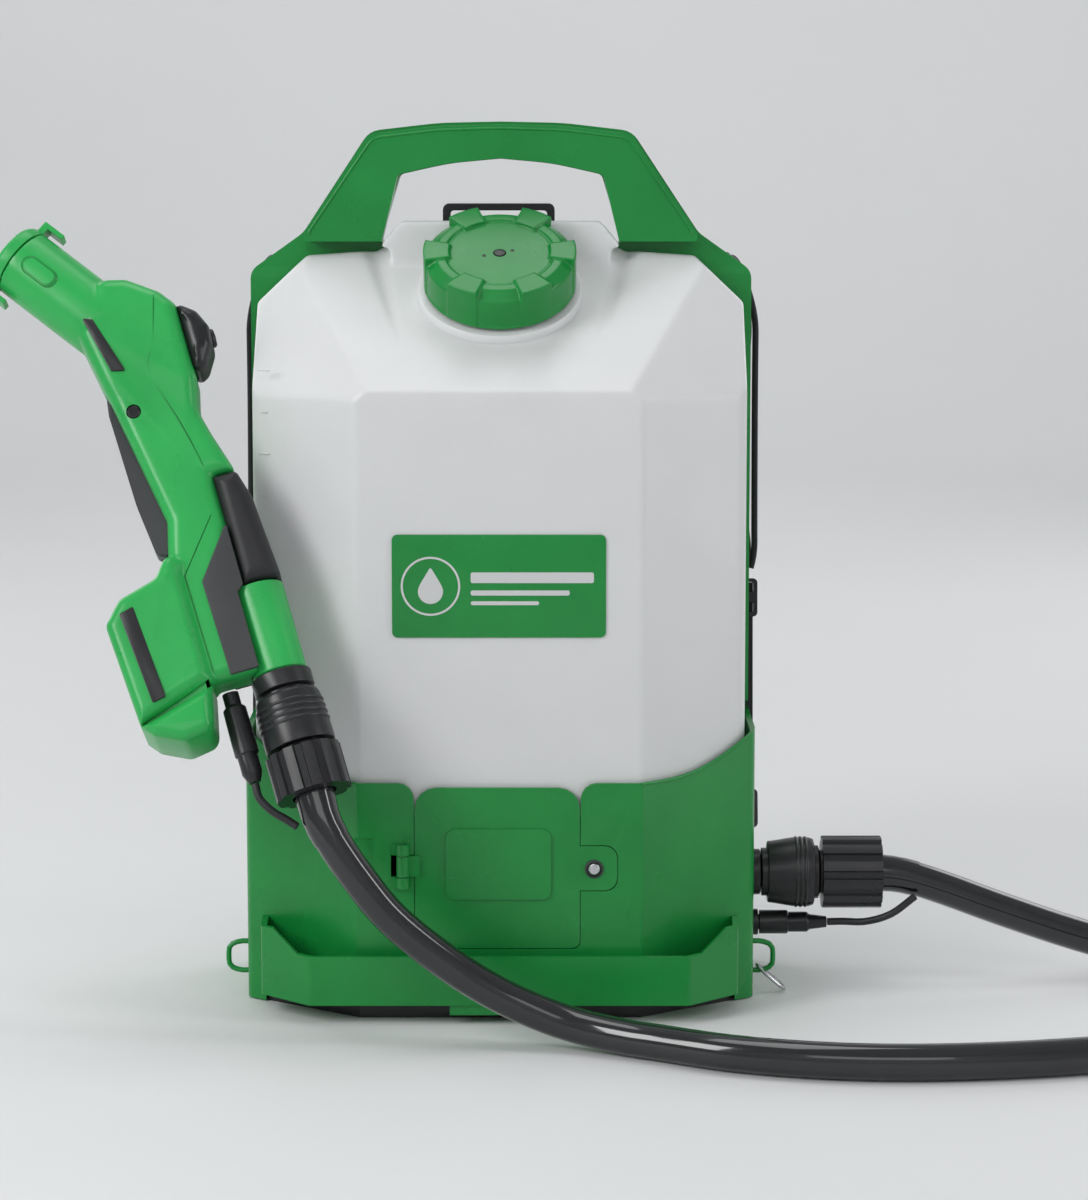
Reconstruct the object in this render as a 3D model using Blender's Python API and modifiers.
"""Backpack electrostatic disinfectant sprayer: tank, carrying frame, pump base, hose and spray gun.

Metres, +Z up, front of the pack towards -Y. The origin is the centre of the underside.
"""

import math

import bmesh
import bpy
from mathutils import Matrix, Vector

# ---------------------------------------------------------------- driving dimensions
GAP = 0.0004                      # running gap left between touching pieces
TOTAL_HEIGHT = 0.560
TANK_HALF_WIDTH = 0.1565
TANK_FRONT, TANK_BACK = -0.100, 0.030
TANK_BOTTOM, TANK_TOP = 0.118, 0.4965
TANK_WALL = 0.003
CREASE_Z = 0.396                  # where the tank's front panel breaks into the sloping shoulder
PANEL_HALF = 0.089                # half width of the flat front panel
SLOPE = math.radians(33.5)        # tilt of the shoulder, the neck and the cap
CAP_TOP = (0.0, -0.034, 0.4782)
CAP_R, CAP_HEIGHT = 0.049, 0.0245
NECK_R, NECK_BORE_R, COLLAR_R = 0.0425, 0.0365, 0.0525

BASE_HALF_WIDTH = 0.163
BASE_FRONT, BASE_BACK = -0.1045, 0.0605
BASE_SKIRT, BASE_BOTTOM, BASE_SIDE_TOP = 0.0008, 0.012, 0.1765
BASE_RIM = ((0.089, 0.1508), (0.108, 0.1515), (0.124, 0.1545), (0.139, 0.1608), (0.152, 0.1685), (0.164, 0.1770))
BASE_WALL = 0.003
DOOR_LEFT, DOOR_RIGHT, DOOR_BOTTOM, DOOR_TOP = -0.053, 0.0505, 0.0455, 0.148
DOOR_BACK = BASE_FRONT + 0.0024
HINGE_X, HINGE_Y = -0.0605, -0.1062
SCREW_X, SCREW_Z = 0.0594, 0.0965
BUMPER_FRONT, BUMPER_TOP, BUMPER_END_TOP = -0.120, 0.0435, 0.0565

FRAME_FRONT, FRAME_BACK = 0.0325, 0.0570
HANDLE_FRONT = 0.014

PUMP_Z = 0.050
OUTLET = (BASE_HALF_WIDTH, -0.010, 0.074)
SOCKET_Z = 0.0405

LOOP_Y, LOOP_Z = -0.035, 0.0145           # lower bar of the strap loops
LOOP_HEIGHT, LOOP_R = 0.019, 0.0019

HOSE_R = 0.011
LEAD_R = 0.0025

GUN_ORIGIN = (-0.1325, -0.130, 0.2243)   # foot of the grip, on the gun's middle plane
GUN_LEAN, GUN_TILT = math.radians(25.0), math.radians(16.5)
GUN_SIZE = 1.026                         # the gun's own dimensions below are for a gun 1 / GUN_SIZE as big
GUN_WALL = 0.0025
GRIP_HALF, HEAD_HALF, BLOCK_HALF = 0.0175, 0.0215, 0.027
BARREL_AT = (-0.0759, 0.2883)            # a point of the barrel's axis in the gun's own X and Z
BARREL_TILT = math.radians(35.0)
BARREL_R = 0.022
SPOUT_X = -0.0015                        # the hose fitting's axis in the gun

# ---------------------------------------------------------------- scene and materials
for thing in list(bpy.data.objects):
    bpy.data.objects.remove(thing, do_unlink=True)


def new_collection(name):
    made = bpy.data.collections.new(name)
    bpy.context.scene.collection.children.link(made)
    return made


PARTS = new_collection("disinfectant_sprayer")
CUTTERS = new_collection("cutters")


def material(name, colour, roughness, metallic=0.0):
    made = bpy.data.materials.new(name)
    made.use_nodes = True
    shader = made.node_tree.nodes["Principled BSDF"]
    shader.inputs["Base Color"].default_value = (*colour, 1.0)
    shader.inputs["Roughness"].default_value = roughness
    shader.inputs["Metallic"].default_value = metallic
    made.diffuse_color = (*colour, 1.0)
    return made


GREEN = material("green_plastic", (0.02, 0.26, 0.06), 0.35)
GUN_GREEN = material("gun_green_plastic", (0.05, 0.36, 0.10), 0.35)
WHITE = material("tank_plastic", (0.72, 0.73, 0.72), 0.45)
BLACK = material("black_plastic", (0.02, 0.02, 0.022), 0.4)
GREY = material("grey_plastic", (0.09, 0.085, 0.095), 0.5)
RUBBER = material("black_rubber", (0.02, 0.02, 0.022), 0.75)
CLEAR = material("clear_tubing", (0.6, 0.65, 0.66), 0.2)
STEEL = material("steel", (0.62, 0.62, 0.64), 0.3, 1.0)
BRASS = material("brass", (0.75, 0.55, 0.25), 0.3, 1.0)
FABRIC = material("black_fabric", (0.02, 0.02, 0.022), 0.9)
HOSE_SKIN = material("hose_skin", (0.015, 0.015, 0.017), 0.2)


# ---------------------------------------------------------------- shape helpers
def rounded(corners, steps=4):
    """Closed outline through (a, b, radius) corners, each turned into an arc."""
    points = []
    count = len(corners)
    for i, (a, b, radius) in enumerate(corners):
        here = Vector((a, b))
        if radius <= 0.0:
            points.append(tuple(here))
            continue
        before = (Vector(corners[i - 1][:2]) - here).normalized()
        after = (Vector(corners[(i + 1) % count][:2]) - here).normalized()
        half = before.angle(after) / 2.0
        centre = here + (before + after).normalized() * radius / math.sin(half)
        start = here + before * radius / math.tan(half) - centre
        end = here + after * radius / math.tan(half) - centre
        turn = math.atan2(start.x * end.y - start.y * end.x, start.dot(end))
        for k in range(steps + 1):
            c, s = math.cos(turn * k / steps), math.sin(turn * k / steps)
            points.append((centre.x + start.x * c - start.y * s, centre.y + start.x * s + start.y * c))
    return points


def inset(corners, distance):
    """The same (a, b, radius) corners moved inwards by distance, for outlines that turn either way round."""
    area = 0.0
    count = len(corners)
    for i in range(count):
        a, b = corners[i], corners[(i + 1) % count]
        area += a[0] * b[1] - b[0] * a[1]
    side = 1.0 if area > 0.0 else -1.0
    moved = []
    for i in range(count):
        here = Vector(corners[i][:2])
        into = (here - Vector(corners[i - 1][:2])).normalized()
        out = (Vector(corners[(i + 1) % count][:2]) - here).normalized()
        normal_in = Vector((-into.y, into.x)) * side
        normal_out = Vector((-out.y, out.x)) * side
        mitre = (normal_in + normal_out) / (1.0 + normal_in.dot(normal_out))
        radius = corners[i][2]
        if radius > 0.0:
            hollow = (into.x * out.y - into.y * out.x) * side < 0.0
            radius = max(radius + (distance if hollow else -distance), 0.0003)
        moved.append((here.x + mitre.x * distance, here.y + mitre.y * distance, radius))
    return moved


def mirrored(right_side):
    """Corners of a left-right symmetric outline from its right half, listed bottom to top."""
    return right_side + [(-a, b, r) for a, b, r in reversed(right_side) if a > 0.0]


def circle(centre, radius, steps=16):
    return [(centre[0] + radius * math.cos(math.tau * k / steps),
             centre[1] + radius * math.sin(math.tau * k / steps)) for k in range(steps)]


def toothed(outer, inner, teeth, share=0.6, fine=2):
    """Outline of a ribbed wheel: each rib fills share of its pitch at the outer radius."""
    points = []
    for k in range(teeth):
        for radius, start, width in ((outer, 0.0, share), (inner, share, 1.0 - share)):
            for j in range(fine + 1):
                angle = math.tau * (k + start + width * (0.06 + 0.88 * j / fine)) / teeth
                points.append((radius * math.cos(angle), radius * math.sin(angle)))
    return points


def band(path, thickness):
    """Outline of a strip of even thickness along an open path of (a, b) points."""
    left, right = [], []
    for i, point in enumerate(path):
        here = Vector(point)
        before = Vector(path[max(i - 1, 0)])
        after = Vector(path[min(i + 1, len(path) - 1)])
        along = (after - before).normalized()
        normal = Vector((-along.y, along.x)) * thickness / 2.0
        left.append(tuple(here + normal))
        right.append(tuple(here - normal))
    return left + right[::-1]


def smooth(points, count):
    """count points, evenly spaced, on a smooth curve through the given 3-D points."""
    given = [Vector(p) for p in points]
    given = [given[0] * 2 - given[1]] + given + [given[-1] * 2 - given[-2]]
    fine = []
    for i in range(1, len(given) - 2):
        a, b, c, d = given[i - 1:i + 3]
        for k in range(24):
            t = k / 24
            fine.append(0.5 * (2 * b + (c - a) * t + (2 * a - 5 * b + 4 * c - d) * t * t
                               + (3 * b - a - 3 * c + d) * t ** 3))
    fine.append(given[-2])
    reach = [0.0]
    for a, b in zip(fine, fine[1:]):
        reach.append(reach[-1] + (b - a).length)
    spaced = []
    k = 0
    for i in range(count):
        want = reach[-1] * i / (count - 1)
        while k < len(fine) - 2 and reach[k + 1] < want:
            k += 1
        share = (want - reach[k]) / (reach[k + 1] - reach[k])
        spaced.append(fine[k].lerp(fine[k + 1], share))
    return spaced


TURNED_TO = {
    "Z": Matrix.Identity(3),
    "Y": Matrix(((1, 0, 0), (0, 0, -1), (0, 1, 0))),
    "X": Matrix(((0, 0, 1), (1, 0, 0), (0, 1, 0))),
}


def place(obj, name, skin, parent, store):
    obj.name = name
    obj.data.name = name
    if skin:
        obj.data.materials.clear()
        obj.data.materials.append(skin)
    store.objects.link(obj)
    obj.parent = parent
    return obj


def from_curve(curve, name, skin, parent, store, matrix=None, flat=False):
    """A mesh object from curve data, with its caps welded on."""
    guide = bpy.data.objects.new(name + "_guide", curve)
    PARTS.objects.link(guide)
    bpy.context.view_layer.update()
    ready = guide.evaluated_get(bpy.context.evaluated_depsgraph_get())
    mesh = bpy.data.meshes.new_from_object(ready)
    bpy.data.objects.remove(guide, do_unlink=True)
    shape = bmesh.new()
    shape.from_mesh(mesh)
    bmesh.ops.remove_doubles(shape, verts=shape.verts, dist=1e-6)
    if flat:
        bmesh.ops.dissolve_limit(shape, angle_limit=0.001, verts=shape.verts, edges=shape.edges)
    if matrix:
        bmesh.ops.transform(shape, matrix=matrix, verts=shape.verts)
    bmesh.ops.recalc_face_normals(shape, faces=shape.faces)
    shape.to_mesh(mesh)
    shape.free()
    return place(bpy.data.objects.new(name, mesh), name, skin, parent, store)


def slab(name, outline, low, high, axis, skin=None, parent=None, holes=(), store=PARTS):
    """A flat outline of (a, b) points, thick from low to high along the named axis.

    The outline lies in XY for axis Z, in XZ for axis Y and in YZ for axis X.
    """
    curve = bpy.data.curves.new(name, "CURVE")
    curve.dimensions = "2D"
    curve.fill_mode = "BOTH"
    curve.extrude = (high - low) / 2.0
    for loop in (outline, *holes):
        spline = curve.splines.new("POLY")
        spline.points.add(len(loop) - 1)
        spline.use_cyclic_u = True
        for point, (a, b) in zip(spline.points, loop):
            point.co = (a, b, 0.0, 1.0)
    turn = TURNED_TO[axis].to_4x4()
    shift = Matrix.Translation(TURNED_TO[axis] @ Vector((0, 0, 1)) * (low + high) / 2.0)
    if axis == "Y":
        shift = Matrix.Translation((0, (low + high) / 2.0, 0))
    return from_curve(curve, name, skin, parent, store, shift @ turn, flat=not holes)


def pillow(name, corners, half, edge, skin=None, parent=None, steps=2, layers=3, store=PARTS):
    """An outline in XZ, half thick each way along Y, whose rims are rounded to the radius edge."""
    shape = bmesh.new()
    rings = []
    turns = [math.pi / 2 * k / (layers - 1) for k in range(layers)]
    depths = [(-half + edge * (1 - math.sin(t)), edge * (1 - math.cos(t))) for t in reversed(turns)]
    depths += [(-y, margin) for y, margin in reversed(depths)]
    for y, margin in depths:
        outline = rounded(inset(corners, margin), steps)
        rings.append([shape.verts.new((a, y, b)) for a, b in outline])
    for lower, upper in zip(rings, rings[1:]):
        for k in range(len(lower)):
            j = (k + 1) % len(lower)
            shape.faces.new((lower[k], lower[j], upper[j], upper[k]))
    shape.faces.new(rings[0])
    shape.faces.new(rings[-1])
    bmesh.ops.recalc_face_normals(shape, faces=shape.faces)
    mesh = bpy.data.meshes.new(name)
    shape.to_mesh(mesh)
    shape.free()
    return place(bpy.data.objects.new(name, mesh), name, skin, parent, store)


def tube(name, points, radius, skin=None, parent=None, resolution=2, store=PARTS):
    """A round rod, wire or hose along the points."""
    curve = bpy.data.curves.new(name, "CURVE")
    curve.dimensions = "3D"
    curve.bevel_depth = radius
    curve.bevel_resolution = resolution
    curve.use_fill_caps = True
    spline = curve.splines.new("POLY")
    spline.points.add(len(points) - 1)
    for point, where in zip(spline.points, points):
        point.co = (*where, 1.0)
    return from_curve(curve, name, skin, parent, store)


def box(name, low, high, skin=None, parent=None, store=PARTS):
    shape = bmesh.new()
    bmesh.ops.create_cube(shape, size=1.0)
    size = [b - a for a, b in zip(low, high)]
    middle = [(a + b) / 2.0 for a, b in zip(low, high)]
    bmesh.ops.scale(shape, vec=size, verts=shape.verts)
    bmesh.ops.translate(shape, vec=middle, verts=shape.verts)
    mesh = bpy.data.meshes.new(name)
    shape.to_mesh(mesh)
    shape.free()
    return place(bpy.data.objects.new(name, mesh), name, skin, parent, store)


def turned(name, profile, skin=None, parent=None, axis="Z", at=(0, 0, 0), steps=22, store=PARTS):
    """A body of revolution from (radius, height) points, down its outer side from the top.

    A profile that starts and ends on the axis is solid, any other is a closed ring.
    """
    solid = profile[0][0] == 0.0 and profile[-1][0] == 0.0
    shape = bmesh.new()
    corners = [shape.verts.new((r, 0.0, h)) for r, h in profile]
    for a, b in zip(corners, corners[1:]):
        shape.edges.new((a, b))
    if not solid:
        shape.edges.new((corners[-1], corners[0]))
    mesh = bpy.data.meshes.new(name)
    shape.to_mesh(mesh)
    shape.free()
    obj = place(bpy.data.objects.new(name, mesh), name, skin, parent, store)
    screw = obj.modifiers.new("turn", "SCREW")
    screw.axis = "Z"
    screw.steps = steps
    screw.render_steps = steps
    screw.use_merge_vertices = True
    screw.merge_threshold = 0.00001
    obj.location = at
    obj.rotation_mode = "QUATERNION"
    obj.rotation_quaternion = {
        "Z": Matrix.Identity(3),
        "X": Matrix.Rotation(math.radians(90.0), 3, "Y"),
        "Y": Matrix.Rotation(math.radians(90.0), 3, "X"),
    }[axis].to_quaternion()
    return obj


def rod(name, radius, low, high, skin=None, parent=None, axis="Z", at=(0, 0, 0), steps=20, store=PARTS):
    """A plain cylinder from low to high along its axis. Axis Y runs towards -Y."""
    profile = [(0.0, high), (radius, high), (radius, low), (0.0, low)]
    return turned(name, profile, skin, parent, axis, at, steps, store)


def combine(target, tool, operation):
    tool.hide_render = True
    tool.display_type = "WIRE"
    step = target.modifiers.new(operation.lower(), "BOOLEAN")
    step.operation = operation
    step.solver = "EXACT"
    step.object = tool
    return target


def cut(target, *tools):
    for tool in tools:
        combine(target, tool, "DIFFERENCE")
    return target


def join(target, *tools):
    for tool in tools:
        combine(target, tool, "UNION")
    return target


def soften(obj, width, segments=2, angle=50.0):
    bevel = obj.modifiers.new("edges", "BEVEL")
    bevel.width = width
    bevel.segments = segments
    bevel.limit_method = "ANGLE"
    bevel.angle_limit = math.radians(angle)
    bevel.use_clamp_overlap = True
    return obj


def trim(obj, point, normal):
    """Cut away what lies beyond a plane and close the cut."""
    shape = bmesh.new()
    shape.from_mesh(obj.data)
    everything = shape.verts[:] + shape.edges[:] + shape.faces[:]
    bmesh.ops.bisect_plane(shape, geom=everything, dist=1e-7, plane_co=point, plane_no=normal,
                           clear_outer=True)
    open_edges = [e for e in shape.edges if e.is_boundary]
    bmesh.ops.contextual_create(shape, geom=open_edges)
    bmesh.ops.recalc_face_normals(shape, faces=shape.faces)
    shape.to_mesh(obj.data)
    shape.free()
    return obj


def empty(name, at, turn=(0, 0, 0), mode="XYZ", parent=None):
    made = bpy.data.objects.new(name, None)
    PARTS.objects.link(made)
    made.location = at
    made.rotation_mode = mode
    made.rotation_euler = turn
    made.parent = parent
    return made


# ---------------------------------------------------------------- tank and cap
CAP_AXIS = empty("cap_axis", CAP_TOP, (SLOPE, 0, 0))

TANK_PLAN = mirrored([(PANEL_HALF, TANK_FRONT, 0.004), (TANK_HALF_WIDTH, -0.051, 0.012),
                      (TANK_HALF_WIDTH, TANK_BACK, 0.008)])
BASE_PLAN = mirrored([(PANEL_HALF + 0.0005, BASE_FRONT, 0.004), (BASE_HALF_WIDTH, -0.0515, 0.010),
                      (BASE_HALF_WIDTH, BASE_BACK, 0.010)])


def tank_form(name, margin, store):
    """The tank's faceted body, moved inwards all round by margin."""
    form = slab(name, rounded(inset(TANK_PLAN, margin)), TANK_BOTTOM + margin, TANK_TOP, "Z", store=store)
    slope = Vector((0.0, -math.sin(SLOPE), math.cos(SLOPE)))
    trim(form, Vector((0.0, TANK_FRONT, CREASE_Z)) - slope * margin, slope)
    for side in (-1.0, 1.0):
        facet = Vector((side * 0.465, -0.626, 0.630)).normalized()
        trim(form, Vector((side * 0.0925, -0.0975, 0.391)) - facet * margin, facet)
        shoulder = Vector((side * 0.688, 0.0, 0.7255)).normalized()
        trim(form, Vector((side * TANK_HALF_WIDTH, 0.0, 0.4447)) - shoulder * margin, shoulder)
        top = Vector((side * 0.0708, 0.0, 0.9975)).normalized()
        trim(form, Vector((side * 0.1254, 0.0, 0.4742)) - top * margin, top)
    return form


def make_ledge():
    """The raised step of the tank behind the cap, scooped out to clear it."""
    outline = mirrored([(0.0780, 0.440, 0.0), (0.0780, 0.4800, 0.002), (0.0735, 0.4862, 0.008),
                        (0.0640, TANK_TOP, 0.003)])
    ledge = slab("ledge", rounded(outline, 3), 0.0100, TANK_BACK - 0.0004, "Y", store=CUTTERS)
    clearance = rod("ledge_clearance", CAP_R + 0.0011, -0.050, 0.050, parent=CAP_AXIS, steps=30, store=CUTTERS)
    return cut(ledge, clearance)


def make_tank():
    tank = tank_form("tank", 0.0, PARTS)
    tank.data.materials.append(WHITE)
    neck = turned("neck_outside", [(0, -0.0072), (NECK_R, -0.0072), (NECK_R, -0.0268), (COLLAR_R, -0.0272),
                                   (COLLAR_R, -0.0345), (0, -0.0345)], parent=CAP_AXIS, steps=32, store=CUTTERS)
    join(tank, make_ledge(), neck)
    hollow = tank_form("tank_hollow", TANK_WALL, CUTTERS)
    bore = rod("neck_bore", NECK_BORE_R, -0.062, 0.002, parent=CAP_AXIS, steps=32, store=CUTTERS)
    drain = rod("drain_hole", 0.0066, 0.100, 0.130, at=(0.100, -0.020, 0.0), store=CUTTERS)
    cut(tank, hollow, bore, drain)


def make_cap():
    inner = NECK_R + 0.0016
    cap = turned("filler_cap", [(0, 0.0), (0.0335, 0.0), (0.0345, -0.0012), (0.0455, -0.0012), (0.0475, -0.0040),
                                (0.0475, -CAP_HEIGHT), (inner, -CAP_HEIGHT), (inner, -0.0046),
                                (0.0, -0.0046)], GREEN, CAP_AXIS, steps=36)
    for k in range(6):
        middle = math.tau * k / 6
        half = math.radians(13.0)
        arc = [middle - half + 2 * half * j / 4 for j in range(5)]
        sector = [(0.036 * math.cos(t), 0.036 * math.sin(t)) for t in arc]
        sector += [(CAP_R * math.cos(t), CAP_R * math.sin(t)) for t in reversed(arc)]
        lug = slab(f"cap_lug_{k}", sector, -CAP_HEIGHT + 0.0004, 0.0006, "Z", parent=CAP_AXIS, store=CUTTERS)
        hollow = rod(f"cap_lug_hollow_{k}", 0.0462, -CAP_HEIGHT - 0.001, -0.0035, parent=CAP_AXIS,
                     steps=36, store=CUTTERS)
        join(cap, cut(lug, hollow))
    cut(cap, rod("vent_hole", 0.0042, -0.01, 0.01, parent=CAP_AXIS, steps=16, store=CUTTERS))
    turned("cap_vent", [(0, 0.0008), (0.0036, 0.0004), (0.0037, -0.0040), (0, -0.0040)], BLACK, CAP_AXIS, steps=16)
    turned("cap_gasket", [(0.0420, -0.0050), (0.0424, -0.0056), (0.0420, -0.0068), (0.0374, -0.0068),
                          (0.0370, -0.0060), (0.0374, -0.0050)], RUBBER, CAP_AXIS, steps=24)


# ---------------------------------------------------------------- base, door and bumper
def make_base():
    base = slab("base_shell", rounded(BASE_PLAN), BASE_SKIRT, BASE_SIDE_TOP, "Z", GREEN,
                holes=[rounded(inset(BASE_PLAN, BASE_WALL))])
    rim = [(p.x, p.z) for p in smooth([(x, 0.0, z) for x, z in BASE_RIM], 10)]
    rim = [(0.180, 0.200)] + rim[::-1]
    rim += [(-a, b) for a, b in reversed(rim)]
    toe_space = box("toe_space", (-0.1505, -0.2, -0.01), (0.1505, -0.020, BASE_BOTTOM), store=CUTTERS)
    cut(base, slab("rim_cut", rim, -0.2, 0.1, "Y", store=CUTTERS), toe_space)
    boss = box("screw_boss", (0.047, BASE_FRONT + 0.0027, 0.0785), (0.0795, -0.0955, 0.1135), store=CUTTERS)
    sill = box("door_sill", (DOOR_LEFT - 0.004, BASE_FRONT + 0.0027, DOOR_BOTTOM - 0.006),
               (DOOR_RIGHT + 0.004, -0.0985, DOOR_BOTTOM + 0.004), store=CUTTERS)
    leaf = box("hinge_leaf", (HINGE_X - 0.0070, HINGE_Y, 0.0845), (HINGE_X + 0.0010, BASE_FRONT + 0.001, 0.1125),
               store=CUTTERS)
    post = rod("hinge_post", 0.0042, 0.0845, 0.1125, at=(HINGE_X, HINGE_Y, 0), steps=16, store=CUTTERS)
    join(base, boss, sill, leaf, post)
    door_space = slab("door_space", rounded(door_outline(0.0005)), BASE_FRONT - 0.01, DOOR_BACK + 0.0002, "Y",
                      store=CUTTERS)
    opening = box("compartment_mouth", (DOOR_LEFT + 0.005, BASE_FRONT - 0.01, DOOR_BOTTOM + 0.0045),
                  (DOOR_RIGHT - 0.005, -0.090, 0.170), store=CUTTERS)
    knuckle_space = box("knuckle_space", (HINGE_X - 0.0075, HINGE_Y - 0.008, 0.0915),
                        (DOOR_LEFT, -0.1000, 0.1055), store=CUTTERS)
    pin_hole = rod("pin_hole", 0.0019, 0.080, 0.120, at=(HINGE_X, HINGE_Y, 0), steps=12, store=CUTTERS)
    screw_hole = rod("screw_hole", 0.0024, -0.2, 0.2, at=(SCREW_X, 0, SCREW_Z), axis="Y", steps=12, store=CUTTERS)
    cut(base, door_space, opening, knuckle_space, pin_hole)
    for side, edge in ((-1.0, DOOR_LEFT), (1.0, DOOR_RIGHT)):
        notch = rounded([(-0.0005, 0.130, 0.0), (-0.0005, 0.1508, 0.010), (-0.030, 0.1508, 0.0), (-0.030, 0.170, 0.0),
                         (0.014, 0.170, 0.0), (0.014, 0.130, 0.0)])
        cut(base, slab(f"door_corner_{'left' if side < 0 else 'right'}", [(edge - side * a, b) for a, b in notch],
                       -0.12, -0.0985, "Y", store=CUTTERS))
    clip = box("screw_hole_limit", (0.05, -0.12, 0.08), (0.07, -0.09, 0.12), store=CUTTERS)
    cut(base, combine(screw_hole, clip, "INTERSECT"))
    grip_recess = box("grip_recess", (-0.0985, BASE_FRONT - 0.002, 0.0900), (-0.0790, BASE_FRONT + 0.0012, 0.1160),
                      store=CUTTERS)
    for word, z in (("low", LOOP_Z), ("high", LOOP_Z + LOOP_HEIGHT)):
        cut(base, rod(f"loop_holes_{word}", LOOP_R + GAP, -0.2, 0.2, at=(0, LOOP_Y, z), axis="X", steps=12,
                      store=CUTTERS))
    spigot_hole = rod("spigot_hole", 0.0104, 0.1, 0.2, at=(0, OUTLET[1], OUTLET[2]), axis="X", store=CUTTERS)
    socket_hole = rod("socket_hole", 0.0068, 0.1, 0.2, at=(0, OUTLET[1], SOCKET_Z), axis="X", store=CUTTERS)
    cut(base, grip_recess, spigot_hole, socket_hole)


def make_bottom_plate():
    slab("base_bottom_plate", rounded(inset(BASE_PLAN, BASE_WALL + GAP)), 0.0, BASE_BOTTOM - GAP, "Z", BLACK)


def door_outline(margin):
    """Door with its lock tab on the right."""
    left, right, bottom, top = DOOR_LEFT - margin, DOOR_RIGHT + margin, DOOR_BOTTOM - margin, DOOR_TOP + margin
    tab_low, tab_high, tab_end = 0.0826 - margin, 0.1110 + margin, 0.0740 + margin
    return [(left, bottom, 0.005), (right, bottom, 0.005), (right, tab_low, 0.0), (tab_end, tab_low, 0.008),
            (tab_end, tab_high, 0.008), (right, tab_high, 0.0), (right, top, 0.0135), (left, top, 0.0135)]


def make_door():
    door = slab("service_door", rounded(door_outline(0.0)), BASE_FRONT, DOOR_BACK, "Y", GREEN)
    window = [(-0.0335, 0.077, 0.006), (0.0324, 0.077, 0.006), (0.0324, 0.122, 0.006), (-0.0335, 0.122, 0.006)]
    raised = slab("door_window", rounded(window), BASE_FRONT - 0.0014, BASE_FRONT + 0.001, "Y", store=CUTTERS)
    rib = slab("door_rib", rounded(inset(window, -0.004)), DOOR_BACK - 0.001, DOOR_BACK + 0.0015, "Y", store=CUTTERS,
               holes=[rounded(inset(window, -0.0015))])
    knuckle = rod("door_knuckle", 0.0040, 0.0920, 0.1050, at=(HINGE_X, HINGE_Y, 0), steps=16, store=CUTTERS)
    arm = box("door_arm", (HINGE_X, HINGE_Y - 0.0005, 0.0920), (DOOR_LEFT + 0.003, HINGE_Y + 0.0028, 0.1050),
              store=CUTTERS)
    join(door, raised, rib, knuckle, arm)
    cut(door, rod("knuckle_bore", 0.0019, 0.08, 0.12, at=(HINGE_X, HINGE_Y, 0), steps=12, store=CUTTERS),
        rod("tab_hole", 0.0032, 0.09, 0.12, at=(SCREW_X, 0, SCREW_Z), axis="Y", steps=16, store=CUTTERS))
    rod("door_hinge_pin", 0.0015, 0.0848, 0.1122, STEEL, at=(HINGE_X, HINGE_Y, 0), steps=12)
    head = BASE_FRONT - GAP
    turned("door_screw", [(0, -head + 0.0022), (0.0030, -head + 0.0022), (0.0037, -head + 0.0014), (0.0037, -head),
                          (0.0019, -head), (0.0019, 0.0980), (0, 0.0970)], STEEL,
           axis="Y", at=(SCREW_X, 0, SCREW_Z), steps=20)


def make_bumper():
    outer = mirrored([(0.119, BUMPER_FRONT, 0.006), (0.151, -0.090, 0.004), (0.1525, -0.058, 0.0), (0.088, -0.058, 0.0)])
    bumper = slab("front_bumper", rounded(outer), BASE_BOTTOM + GAP, BUMPER_END_TOP, "Z", GREEN)
    base_space = slab("bumper_base_space", rounded(inset(BASE_PLAN, -GAP)), 0.0, 0.2, "Z", store=CUTTERS)
    trough = mirrored([(0.1172, BUMPER_FRONT + 0.004, 0.004), (0.1474, -0.0882, 0.002), (0.1490, -0.040, 0.0)])
    hollow = slab("bumper_trough", rounded(trough), BASE_BOTTOM + 0.0045, 0.2, "Z", store=CUTTERS)
    dip = [(-0.1265, BUMPER_TOP), (0.1265, BUMPER_TOP), (0.1440, BUMPER_END_TOP + 0.001),
           (0.1440, 0.08), (-0.1440, 0.08), (-0.1440, BUMPER_END_TOP + 0.001)]
    top_cut = slab("bumper_dip", dip, -0.2, 0.0, "Y", store=CUTTERS)
    foot = box("bumper_foot", (-0.031, BUMPER_FRONT + 0.0015, 0.0060), (0.017, BASE_FRONT - 0.001, 0.0140),
               store=CUTTERS)
    join(cut(bumper, hollow, top_cut, base_space), foot)


# ---------------------------------------------------------------- carrying frame, pad and straps
FRAME_OUTLINE = mirrored([(0.1535, 0.103, 0.006), (0.1535, 0.1775, 0.0), (0.1630, 0.1805, 0.0),
                          (0.1630, 0.4640, 0.010), (0.1285, 0.4885, 0.020), (0.0850, 0.5540, 0.014),
                          (0.0400, 0.5592, 0.200), (0.0, TOTAL_HEIGHT, 0.0)])
HAND_HOLE = mirrored([(0.0790, 0.4806, 0.004), (0.0655, 0.5260, 0.005), (0.0330, 0.5332, 0.150),
                      (0.0, 0.5362, 0.0)])


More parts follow.
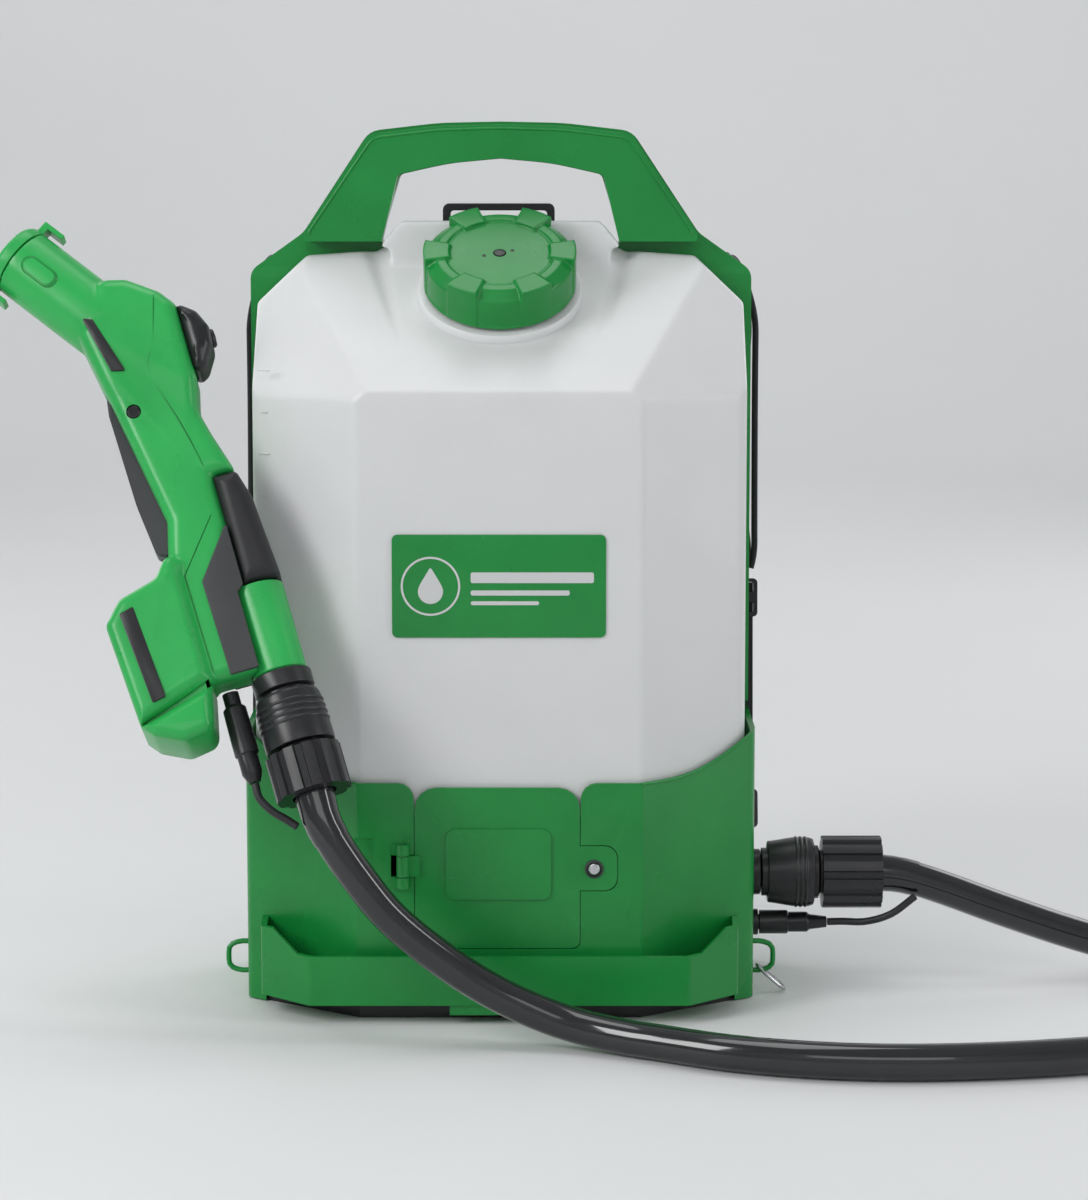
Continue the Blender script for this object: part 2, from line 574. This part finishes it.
def make_frame():
    frame = slab("carry_frame", rounded(FRAME_OUTLINE), FRAME_FRONT, FRAME_BACK, "Y", GREEN,
                 holes=[rounded(HAND_HOLE)])
    brow = mirrored([(0.1270, 0.4835, 0.002), (0.1270, 0.4888, 0.003), (0.0842, 0.5522, 0.012),
                     (0.0400, 0.5574, 0.200), (0.0, TOTAL_HEIGHT - 0.0018, 0.0)])
    brow_hole = mirrored([(0.0800, 0.4700, 0.0), (0.0661, 0.5266, 0.005), (0.0335, 0.5339, 0.150),
                          (0.0, 0.5369, 0.0)])
    front = slab("handle_front", rounded(brow), HANDLE_FRONT, FRAME_FRONT + 0.002, "Y", store=CUTTERS)
    through = slab("handle_through", rounded(brow_hole), 0.0, FRAME_FRONT + 0.010, "Y", store=CUTTERS)
    join(frame, cut(front, through))
    pocket = [(-0.150, 0.106, 0.006), (0.150, 0.106, 0.006), (0.150, 0.455, 0.010), (-0.150, 0.455, 0.010)]
    cut(frame, slab("frame_pocket", rounded(pocket), 0.020, FRAME_BACK - 0.0035, "Y", store=CUTTERS))
    loop = [(-0.038, 0.4810, 0.0), (0.035, 0.4810, 0.0), (0.035, 0.507, 0.004), (-0.038, 0.507, 0.004)]
    slab("top_bracket", rounded(loop), 0.0430, 0.0530, "Y", BLACK,
         holes=[rounded([(-0.033, 0.4855, 0.001), (0.030, 0.4855, 0.001), (0.030, 0.5025, 0.002),
                         (-0.033, 0.5025, 0.002)], 2)])


def make_soft_goods():
    pad = box("back_pad", (-0.100, FRAME_BACK + GAP, 0.172), (0.100, 0.0820, 0.440), FABRIC)
    soften(pad, 0.009, 3)
    for side, word in ((-1.0, "left"), (1.0, "right")):
        inner, outer = sorted((side * 0.114, side * 0.172))
        route = smooth([(0, 0.0655, 0.4530), (0, 0.0820, 0.4690), (0, 0.1030, 0.4640), (0, 0.1150, 0.4350),
                        (0, 0.1190, 0.3800), (0, 0.1150, 0.3100), (0, 0.1070, 0.2500)], 17)
        strap = slab(f"shoulder_strap_{word}", band([(p.y, p.z) for p in route], 0.012), inner, outer, "X", FABRIC)
        soften(strap, 0.003, 1, 40.0)
        inner, outer = sorted((side * 0.138, side * 0.170))
        tail = smooth([(0, 0.1062, 0.2492), (0, 0.0990, 0.1850), (0, 0.0880, 0.1200), (0, 0.0730, 0.0720),
                       (0, 0.0635, 0.0500)], 10)
        slab(f"strap_webbing_{word}", band([(p.y, p.z) for p in tail], 0.0022), inner, outer, "X", FABRIC)


def make_strap_loops():
    for side, word in ((-1.0, "left"), (1.0, "right")):
        loop = smooth([(side * a, LOOP_Y, LOOP_Z + LOOP_HEIGHT * b) for a, b in
                       ((0.1604, 1.0), (0.1690, 1.0), (0.1755, 0.85), (0.1765, 0.5), (0.1755, 0.15), (0.1690, 0.0),
                        (0.1604, 0.0))], 14)
        tube(f"strap_loop_{word}", loop, LOOP_R, GREEN, resolution=1)


def make_snap_hook():
    """A small spring hook that hangs on the right strap loop."""
    along, across = Vector((0.75, 0.0, -0.66)).normalized(), Vector((0.0, 1.0, 0.0))
    centre = Vector((0.17525, LOOP_Y, LOOP_Z - 0.0046))
    points = []
    for k in range(20):
        angle = math.tau * k / 20
        points.append(centre + along * 0.0120 * math.cos(angle) + across * 0.0060 * math.sin(angle))
    curve = bpy.data.curves.new("snap_hook", "CURVE")
    curve.dimensions = "3D"
    curve.bevel_depth = 0.0012
    curve.bevel_resolution = 2
    spline = curve.splines.new("POLY")
    spline.points.add(len(points) - 1)
    spline.use_cyclic_u = True
    for point, where in zip(spline.points, points):
        point.co = (*where, 1.0)
    from_curve(curve, "snap_hook", STEEL, None, PARTS)


# ---------------------------------------------------------------- pump and pipework in the base
def make_pump():
    bracket = box("pump_bracket", (-0.055, -0.030, 0.0122), (0.060, 0.030, 0.0147), STEEL)
    saddle = [(-0.022, 0.013), (0.022, 0.013), (0.022, PUMP_Z - 0.006), (-0.022, PUMP_Z - 0.006)]
    motor_space = rod("motor_space", 0.0184, -0.1, 0.1, at=(0, 0, PUMP_Z), axis="X", store=CUTTERS)
    for k, x in enumerate((-0.038, 0.004)):
        cheek = slab(f"saddle_{k}", saddle, x - 0.0015, x + 0.0015, "X", store=CUTTERS)
        join(bracket, cheek)
    cut(bracket, motor_space)
    turned("pump_motor", [(0, 0.0120), (0.0178, 0.0120), (0.0180, 0.0110), (0.0180, -0.0440), (0.0150, -0.0460),
                          (0, -0.0460)], STEEL, axis="X", at=(0, 0, PUMP_Z))
    turned("motor_shaft", [(0, 0.0330), (0.0025, 0.0330), (0.0025, 0.0290), (0.0080, 0.0290), (0.0080, 0.0210),
                           (0.0025, 0.0210), (0.0025, 0.0123), (0, 0.0123)], STEEL, axis="X", at=(0, 0, PUMP_Z))
    head = box("pump_head", (0.0150, -0.0220, 0.0290), (0.0640, 0.0220, 0.0720), BLACK)
    soften(head, 0.003, 2)
    cam_space = rod("cam_space", 0.0100, 0.0100, 0.0360, at=(0, 0, PUMP_Z), axis="X", store=CUTTERS)
    inlet = turned("pump_inlet", [(0, 0.0705), (0.0036, 0.0705), (0.0050, 0.0665), (0.0050, 0.0600), (0, 0.0600)],
                   axis="X", at=(0, -0.010, 0.060), steps=16, store=CUTTERS)
    outlet = turned("pump_outlet", [(0, 0.0705), (0.0036, 0.0705), (0.0050, 0.0665), (0.0050, 0.0600), (0, 0.0600)],
                    axis="X", at=(0, 0.012, 0.044), steps=16, store=CUTTERS)
    join(cut(head, cam_space), inlet, outlet)


def make_pipework():
    drain = (0.100, -0.020, 0.0)
    floor = TANK_BOTTOM
    turned("tank_outlet_fitting", [(0.0060, floor + 0.0060), (0.0060, floor - 0.0005), (0.0100, floor - 0.0005),
                                   (0.0100, floor - 0.0050), (0.0050, floor - 0.0060), (0.0036, floor - 0.0145),
                                   (0.0022, floor - 0.0145), (0.0022, floor + 0.0060)], BLACK, at=drain, steps=16)
    turned("outlet_filter", [(0, floor + 0.0300), (0.0090, floor + 0.0300), (0.0095, floor + 0.0065),
                             (0.0080, floor + 0.0065), (0.0075, floor + 0.0285), (0, floor + 0.0285)],
           CLEAR, at=drain, steps=16)
    suction = smooth([(0.0710, -0.010, 0.0600), (0.0800, -0.010, 0.0600), (0.0920, -0.013, 0.0650),
                      (0.0990, -0.018, 0.0800), (0.1000, -0.020, 0.0930), (0.1000, -0.020, 0.1030)], 12)
    tube("suction_tube", suction, 0.0045, CLEAR)
    discharge = smooth([(0.0710, 0.0120, 0.0440), (0.0800, 0.0120, 0.0440), (0.0980, 0.0090, 0.0500),
                        (0.1150, 0.0000, 0.0640), (0.1290, -0.0080, 0.0730), (0.1395, -0.0100, 0.0740)], 14)
    tube("discharge_tube", discharge, 0.0045, CLEAR)


def make_outlet():
    """Bulkhead spigot, quick coupler, hose nut and the electrical plug on the right side."""
    at = (0.0, OUTLET[1], OUTLET[2])
    turned("outlet_spigot", [(0.0040, 0.1850), (0.0085, 0.1850), (0.0090, 0.1840), (0.0090, 0.1700), (0.0150, 0.1690),
                             (0.0150, BASE_HALF_WIDTH + GAP), (0.0098, BASE_HALF_WIDTH + GAP), (0.0098, 0.1480),
                             (0.0045, 0.1470), (0.0036, 0.1400), (0.0020, 0.1400), (0.0020, 0.1700),
                             (0.0040, 0.1710)], BLACK, axis="X", at=at, steps=18)
    nut = slab("spigot_nut", toothed(0.0150, 0.0138, 6, 0.7, 1), 0.1520, 0.1592, "X", BLACK,
               holes=[circle((0, 0), 0.0103, 20)])
    nut.location = (0.0, OUTLET[1], OUTLET[2])
    turned("pack_coupler_body", [(0.0066, 0.2320), (0.0140, 0.2320), (0.0140, 0.2080), (0.0175, 0.2070),
                                 (0.0175, 0.1900), (0.0158, 0.1890), (0.0158, 0.1700), (0.0094, 0.1700),
                                 (0.0094, 0.1860), (0.0066, 0.1870)], BLACK, axis="X", at=at, steps=18)
    turned("pack_coupler_collar", [(0.0215, 0.2040), (0.0225, 0.2010), (0.0225, 0.1900), (0.0205, 0.1780),
                                   (0.0200, 0.1740), (0.0164, 0.1740), (0.0164, 0.1870), (0.0179, 0.1880),
                                   (0.0179, 0.2040)], BLACK, axis="X", at=at)
    nut = slab("pack_hose_nut", toothed(0.0235, 0.0218, 12), 0.2095, 0.2480, "X", BLACK,
               holes=[circle((0, 0), 0.0146, 24)])
    cut(nut, turned("nut_taper", [(0.030, 0.2485), (0.030, 0.2380), (0.0225, 0.2490)], axis="X", steps=24,
                    store=CUTTERS))
    nut.location = at
    turned("pack_socket", [(0, 0.1720), (0.0050, 0.1720), (0.0050, 0.1680), (0.0085, 0.1680),
                           (0.0085, BASE_HALF_WIDTH + GAP), (0.0064, BASE_HALF_WIDTH + GAP), (0.0064, 0.1500),
                           (0, 0.1500)], BLACK, axis="X", at=(0, OUTLET[1], SOCKET_Z), steps=20)
    turned("pack_plug", [(0, 0.2130), (0.0036, 0.2130), (0.0050, 0.2020), (0.0066, 0.2000), (0.0066, 0.1880),
                         (0.0078, 0.1870), (0.0078, 0.1690), (0.0056, 0.1690), (0.0056, 0.1730),
                         (0, 0.1730)], BLACK, axis="X", at=(0, OUTLET[1], SOCKET_Z), steps=20)
    lead = smooth([(0.2135, -0.0100, SOCKET_Z), (0.2240, -0.0110, SOCKET_Z + 0.0005), (0.2380, -0.0180, 0.0425),
                   (0.2540, -0.0245, 0.0490), (0.2700, -0.0207, 0.0600)], 14)
    tube("pack_pigtail", lead, LEAD_R, RUBBER)


HOSE_ROUTE = [(-0.1139, -0.1589, 0.1624), (-0.1107, -0.1634, 0.1526), (-0.1040, -0.1705, 0.1350),
              (-0.0830, -0.1750, 0.1040), (-0.0580, -0.1750, 0.0750), (-0.0110, -0.1720, 0.0395),
              (0.0370, -0.1760, 0.0180), (0.0860, -0.1965, 0.0113), (0.1450, -0.2290, 0.0113),
              (0.2145, -0.2460, 0.0113), (0.2900, -0.2440, 0.0113), (0.3700, -0.2260, 0.0113),
              (0.4450, -0.1920, 0.0113), (0.5000, -0.1400, 0.0113), (0.5160, -0.0780, 0.0113),
              (0.4870, -0.0220, 0.0113), (0.4360, -0.0040, 0.0155), (0.3820, -0.0060, 0.0300),
              (0.3300, -0.0090, 0.0480), (0.2870, -0.0100, 0.0640), (0.2600, -0.0100, 0.0720),
              (0.2330, -0.0100, 0.0740)]


def make_hose():
    points = smooth(HOSE_ROUTE, 48)
    for point in points:
        point.z = max(point.z, HOSE_R + 0.0003)
    tube("hose", points, HOSE_R, HOSE_SKIN, resolution=3)


# ---------------------------------------------------------------- spray gun
GUN = empty("gun_frame", GUN_ORIGIN, (-GUN_LEAN, -GUN_TILT, 0), "ZYX")
GUN.scale = (GUN_SIZE, GUN_SIZE, GUN_SIZE)
BARREL = empty("barrel_axis", (BARREL_AT[0], 0.0, BARREL_AT[1]), (0, -BARREL_TILT, 0), parent=GUN)
TRIGGER_PIVOT = (-0.0480, 0.1930)
LOCK_AT = (-0.0435, 0.1800)

GRIP_OUTLINE = [(-0.0640, 0.2390, 0.004), (-0.0578, 0.2015, 0.004), (-0.0555, 0.1905, 0.003),
                (-0.0421, 0.1088, 0.006), (-0.0490, 0.0800, 0.004), (-0.0460, 0.0640, 0.003),
                (-0.0460, 0.0020, 0.003), (-0.0120, 0.0020, 0.003), (-0.0120, 0.0540, 0.0),
                (-0.0075, 0.0560, 0.0), (-0.0075, 0.1290, 0.0), (0.0062, 0.1290, 0.002),
                (-0.0015, 0.1555, 0.020), (-0.0056, 0.1724, 0.020), (-0.0010, 0.1925, 0.004),
                (-0.0010, 0.2430, 0.004), (-0.0085, 0.2536, 0.010), (-0.0262, 0.2672, 0.010),
                (-0.0440, 0.2720, 0.010)]
BLOCK_OUTLINE = [(-0.0480, 0.0860, 0.006), (-0.0578, 0.0728, 0.008), (-0.0820, 0.0660, 0.006),
                 (-0.0938, 0.0525, 0.006), (-0.0893, -0.0130, 0.0), (-0.0398, 0.0020, 0.0),
                 (-0.0405, 0.0704, 0.003), (-0.0360, 0.0800, 0.003)]
REAR_CAP_OUTLINE = [(-0.0005, 0.1932, 0.003), (0.0100, 0.2050, 0.006), (0.0158, 0.2206, 0.008),
                    (0.0129, 0.2325, 0.006), (0.0052, 0.2412, 0.003), (-0.0005, 0.2420, 0.002)]
PANEL_OUTLINE = [(-0.0070, 0.0565, 0.001), (0.0153, 0.0565, 0.002), (0.0130, 0.0862, 0.010),
                 (0.0116, 0.1099, 0.010), (0.0065, 0.1284, 0.002), (-0.0070, 0.1284, 0.002)]


HEAD_OUTLINE = [(-0.0632, 0.2390, 0.003), (-0.0565, 0.2000, 0.004), (-0.0020, 0.1945, 0.004),
                (-0.0020, 0.2422, 0.004), (-0.0093, 0.2525, 0.008), (-0.0265, 0.2660, 0.008),
                (-0.0440, 0.2708, 0.006)]


def gun_form(name, margin):
    """The gun's outer form, moved inwards by margin: grip, battery block, head and barrel."""
    pieces = (("grip", GRIP_OUTLINE, GRIP_HALF, 0.007), ("block", BLOCK_OUTLINE, BLOCK_HALF, 0.006),
              ("head", HEAD_OUTLINE, HEAD_HALF, 0.008))
    formed = [pillow(f"{name}_{word}", inset(outline, margin), half - margin, edge - margin, parent=GUN,
                     store=CUTTERS) for word, outline, half, edge in pieces]
    front = 0.0160 if margin == 0.0 else 0.030
    barrel = rod(f"{name}_barrel", BARREL_R - margin, -0.050 + margin, front, parent=BARREL, steps=24, store=CUTTERS)
    return join(formed[0], formed[1], formed[2], barrel)


def make_gun_shells():
    outside, hollow = gun_form("gun_outside", 0.0), gun_form("gun_hollow", GUN_WALL)
    for word, low, high in (("left", -0.08, -0.00015), ("right", 0.00015, 0.08)):
        shell = box(f"gun_shell_{word}", (-0.2, low, -0.1), (0.1, high, 0.4), GUN_GREEN, GUN)
        slot_outline = [(-0.070, 0.0855), (-0.0200, 0.0855), (-0.0200, 0.1120), (-0.0380, 0.2000), (-0.070, 0.2000)]
        slot = slab(f"trigger_slot_{word}", slot_outline, -0.0078, 0.0078, "Y", parent=GUN, store=CUTTERS)
        mouth = slab(f"battery_mouth_{word}", [(-0.0860, -0.030), (-0.0432, -0.030), (-0.0432, 0.020), (-0.0860, 0.020)],
                     -BLOCK_HALF + 0.0035, BLOCK_HALF - 0.0035, "Y", parent=GUN, store=CUTTERS)
        rear = rod(f"rear_socket_{word}", 0.0172, -0.004, 0.065, parent=GUN, at=(SPOUT_X, 0, 0), steps=24,
                   store=CUTTERS)
        rear_window = box(f"rear_window_{word}", (-0.012, -0.010, 0.205), (0.005, 0.010, 0.230), parent=GUN,
                          store=CUTTERS)
        pin = rod(f"pin_seat_{word}", 0.0018, -0.0140, 0.0140, parent=GUN, axis="Y",
                  at=(TRIGGER_PIVOT[0], 0, TRIGGER_PIVOT[1]), steps=12, store=CUTTERS)
        combine(shell, outside, "INTERSECT")
        cut(shell, hollow, slot, mouth, rear, rear_window, pin)
        if word == "left":
            cut(shell, rod("lock_bore", 0.0046, 0.005, 0.030, parent=GUN, axis="Y", at=(LOCK_AT[0], 0, LOCK_AT[1]),
                           steps=16, store=CUTTERS))


def make_trigger():
    pivot = empty("trigger_pivot", (TRIGGER_PIVOT[0], 0, TRIGGER_PIVOT[1]), parent=GUN)
    px, pz = TRIGGER_PIVOT
    outline = [(-0.0575, 0.1975, 0.002), (-0.0589, 0.1863, 0.004), (-0.0573, 0.1269, 0.020), (-0.0533, 0.0915, 0.004),
               (-0.0470, 0.0880, 0.002), (-0.0420, 0.0930, 0.003), (-0.0395, 0.1090, 0.006), (-0.0500, 0.1700, 0.003),
               (-0.0440, 0.1870, 0.002), (-0.0435, 0.1975, 0.003)]
    local = [(a - px, b - pz, r) for a, b, r in outline]
    trigger = slab("trigger", rounded(local, 3), -0.0070, 0.0070, "Y", GREY, pivot)
    soften(trigger, 0.0015, 1, 60.0)
    cut(trigger, rod("trigger_bore", 0.0019, -0.02, 0.02, parent=pivot, axis="Y", steps=12, store=CUTTERS),
        box("spring_space", (-0.0048, -0.0035, -0.0048), (0.0048, 0.0035, 0.0060), parent=pivot, store=CUTTERS))
    rod("trigger_pin", 0.0015, -0.0138, 0.0138, STEEL, pivot, axis="Y", steps=12)
    coil = []
    for k in range(26):
        angle = math.tau * k / 10
        coil.append((0.0030 * math.cos(angle), -0.0024 + 0.0048 * k / 25, 0.0030 * math.sin(angle)))
    tube("trigger_spring", coil, 0.0006, STEEL, pivot)
    turned("trigger_lock", [(0, 0.0195), (0.0034, 0.0195), (0.0042, 0.0187), (0.0042, 0.0110), (0, 0.0110)],
           BLACK, GUN, axis="Y", at=(LOCK_AT[0], 0, LOCK_AT[1]), steps=16)
    box("trigger_switch", (-0.0190, -0.0050, 0.1180), (-0.0175 + 0.0010, 0.0050, 0.1360), BLACK, GUN)


def make_gun_rear():
    cap = pillow("rear_cap", REAR_CAP_OUTLINE, 0.0165, 0.005, BLACK, GUN)
    cut(cap, box("rear_cap_hollow", (-0.0050, -0.0090, 0.2060), (0.0040, 0.0090, 0.2290), parent=GUN, store=CUTTERS),
        rod("button_bore", 0.0064, -0.01, 0.03, parent=GUN, axis="X", at=(0, 0, 0.2200), steps=20, store=CUTTERS))
    turned("power_button", [(0, 0.0172), (0.0050, 0.0168), (0.0060, 0.0155), (0.0060, 0.0030), (0, 0.0030)],
           BLACK, GUN, axis="X", at=(0, 0, 0.2200), steps=20)
    pillow("grip_panel", PANEL_OUTLINE, 0.0180, 0.007, RUBBER, GUN)
    turned("handle_rear_cover", [(0.0120, 0.0555), (0.0162, 0.0555), (0.0165, 0.0545), (0.0165, 0.0005),
                                 (0.0155, -0.0005), (0.0062, -0.0005), (0.0062, 0.0030), (0.0120, 0.0060)],
           GUN_GREEN, GUN, at=(SPOUT_X, 0, 0), steps=22)


def make_nozzle():
    retainer = turned("nozzle_retainer", [(0.0222, 0.0165), (0.0222, 0.0220), (0.0205, 0.0245), (0.0150, 0.0245),
                                          (0.0150, 0.0165)][::-1], GUN_GREEN, BARREL, steps=28)
    for k, angle in enumerate((0.0, math.pi)):
        hook = box(f"retainer_hook_{k}", (0.0200, -0.0055, 0.0170), (0.0290, 0.0055, 0.0215), parent=BARREL,
                   store=CUTTERS)
        finger = box(f"retainer_finger_{k}", (0.0258, -0.0055, 0.0060), (0.0290, 0.0055, 0.0200), parent=BARREL,
                     store=CUTTERS)
        hook.rotation_euler = (0, 0, angle)
        finger.rotation_euler = (0, 0, angle)
        join(retainer, hook, finger)
    turret = turned("nozzle_turret", [(0, 0.0200), (0.0110, 0.0200), (0.0140, 0.0185), (0.0140, 0.0080),
                                      (0, 0.0080)], BLACK, BARREL, steps=24)
    for k in range(3):
        angle = math.tau * k / 3
        jet = rod(f"jet_{k}", 0.0018, 0.0140, 0.0230, parent=BARREL, steps=10, store=CUTTERS,
                  at=(0.0075 * math.cos(angle), 0.0075 * math.sin(angle), 0))
        cut(turret, jet)
    turned("electrode_ring", [(0.0185, 0.0150), (0.0185, 0.0100), (0.0150, 0.0100), (0.0150, 0.0150)], BRASS,
           BARREL, steps=24)
    box("high_voltage_module", (-0.0160, -0.0130, 0.2030), (-0.0065, 0.0130, 0.2330), GREY, GUN)
    route = smooth([(SPOUT_X, 0, 0.0125), (SPOUT_X, 0, 0.0200), (-0.0050, 0, 0.0340), (-0.0092, 0, 0.0480),
                    (-0.0125, 0, 0.0640), (-0.0140, 0, 0.0850), (-0.0142, 0, 0.1100), (-0.0140, 0, 0.1500),
                    (-0.0210, 0, 0.1850), (-0.0340, 0, 0.2230), (-0.0480, 0, 0.2484), (-0.0620, 0, 0.2684),
                    (-0.0705, 0, 0.2806)], 22)
    tube("liquid_tube", route, 0.0022, CLEAR, GUN)


def make_battery():
    outline = [(-0.0890, -0.0140, 0.0), (-0.0830, -0.0215, 0.005), (-0.0663, -0.0300, 0.006),
               (-0.0480, -0.0272, 0.006), (-0.0420, 0.0001, 0.0)]
    battery = pillow("battery_pack", outline, BLOCK_HALF - 0.0005, 0.004, GUN_GREEN, GUN)
    cells = box("battery_cells", (-0.0850, -0.0200, -0.0200), (-0.0440, 0.0200, 0.0560), parent=GUN, store=CUTTERS)
    notch = box("latch_notch", (-0.0735, 0.0195, -0.0215), (-0.0605, 0.0300, -0.0140), parent=GUN, store=CUTTERS)
    cut(join(battery, cells), notch)
    latch = box("battery_latch", (-0.0730, 0.0225, -0.0210), (-0.0610, 0.0285, -0.0145), BLACK, GUN)
    soften(latch, 0.0012, 1)


def make_gun_coupling():
    at = (SPOUT_X, 0, 0)
    turned("gun_coupler_body", [(0.0058, 0.0120), (0.0058, -0.0012), (0.0184, -0.0012), (0.0184, -0.0110),
                                (0.0150, -0.0120), (0.0150, -0.0480), (0.0130, -0.0490), (0.0130, -0.0640),
                                (0.0040, -0.0640), (0.0040, 0.0120)], BLACK, GUN, at=at, steps=18)
    turned("gun_coupler_collar", [(0.0190, -0.0145), (0.0200, -0.0170), (0.0212, -0.0400), (0.0212, -0.0470),
                                  (0.0154, -0.0470), (0.0154, -0.0145)], BLACK, GUN, at=at)
    nut = slab("gun_hose_nut", toothed(0.0228, 0.0212, 12), -0.0770, -0.0500, "Z", BLACK, GUN,
               holes=[circle((0, 0), 0.0136, 24)])
    nut.location = at
    turned("gun_plug", [(0, -0.0030), (0.0050, -0.0030), (0.0050, -0.0110), (0.0070, -0.0130), (0.0074, -0.0330),
                        (0.0074, -0.0420), (0.0062, -0.0430), (0.0062, -0.0540), (0.0036, -0.0600), (0, -0.0600)],
           BLACK, GUN, at=(-0.0335, 0, 0), steps=20)
    lead = smooth([(-0.0335, 0, -0.0606), (-0.0335, 0, -0.0700), (-0.0280, 0.0, -0.0800),
                   (-0.0215, 0.0, -0.0870), (-0.0165, 0.0, -0.0930)], 14)
    tube("gun_pigtail", lead, LEAD_R, RUBBER, GUN)


make_tank()
make_cap()
make_base()
make_bottom_plate()
make_door()
make_bumper()
make_frame()
make_soft_goods()
make_strap_loops()
make_snap_hook()
make_pump()
make_pipework()
make_outlet()
make_hose()
make_gun_shells()
make_trigger()
make_gun_rear()
make_nozzle()
make_battery()
make_gun_coupling()

for piece in PARTS.objects:
    if piece.type == "MESH":
        piece.data.shade_smooth()
        piece.data.set_sharp_from_angle(angle=math.radians(35.0))
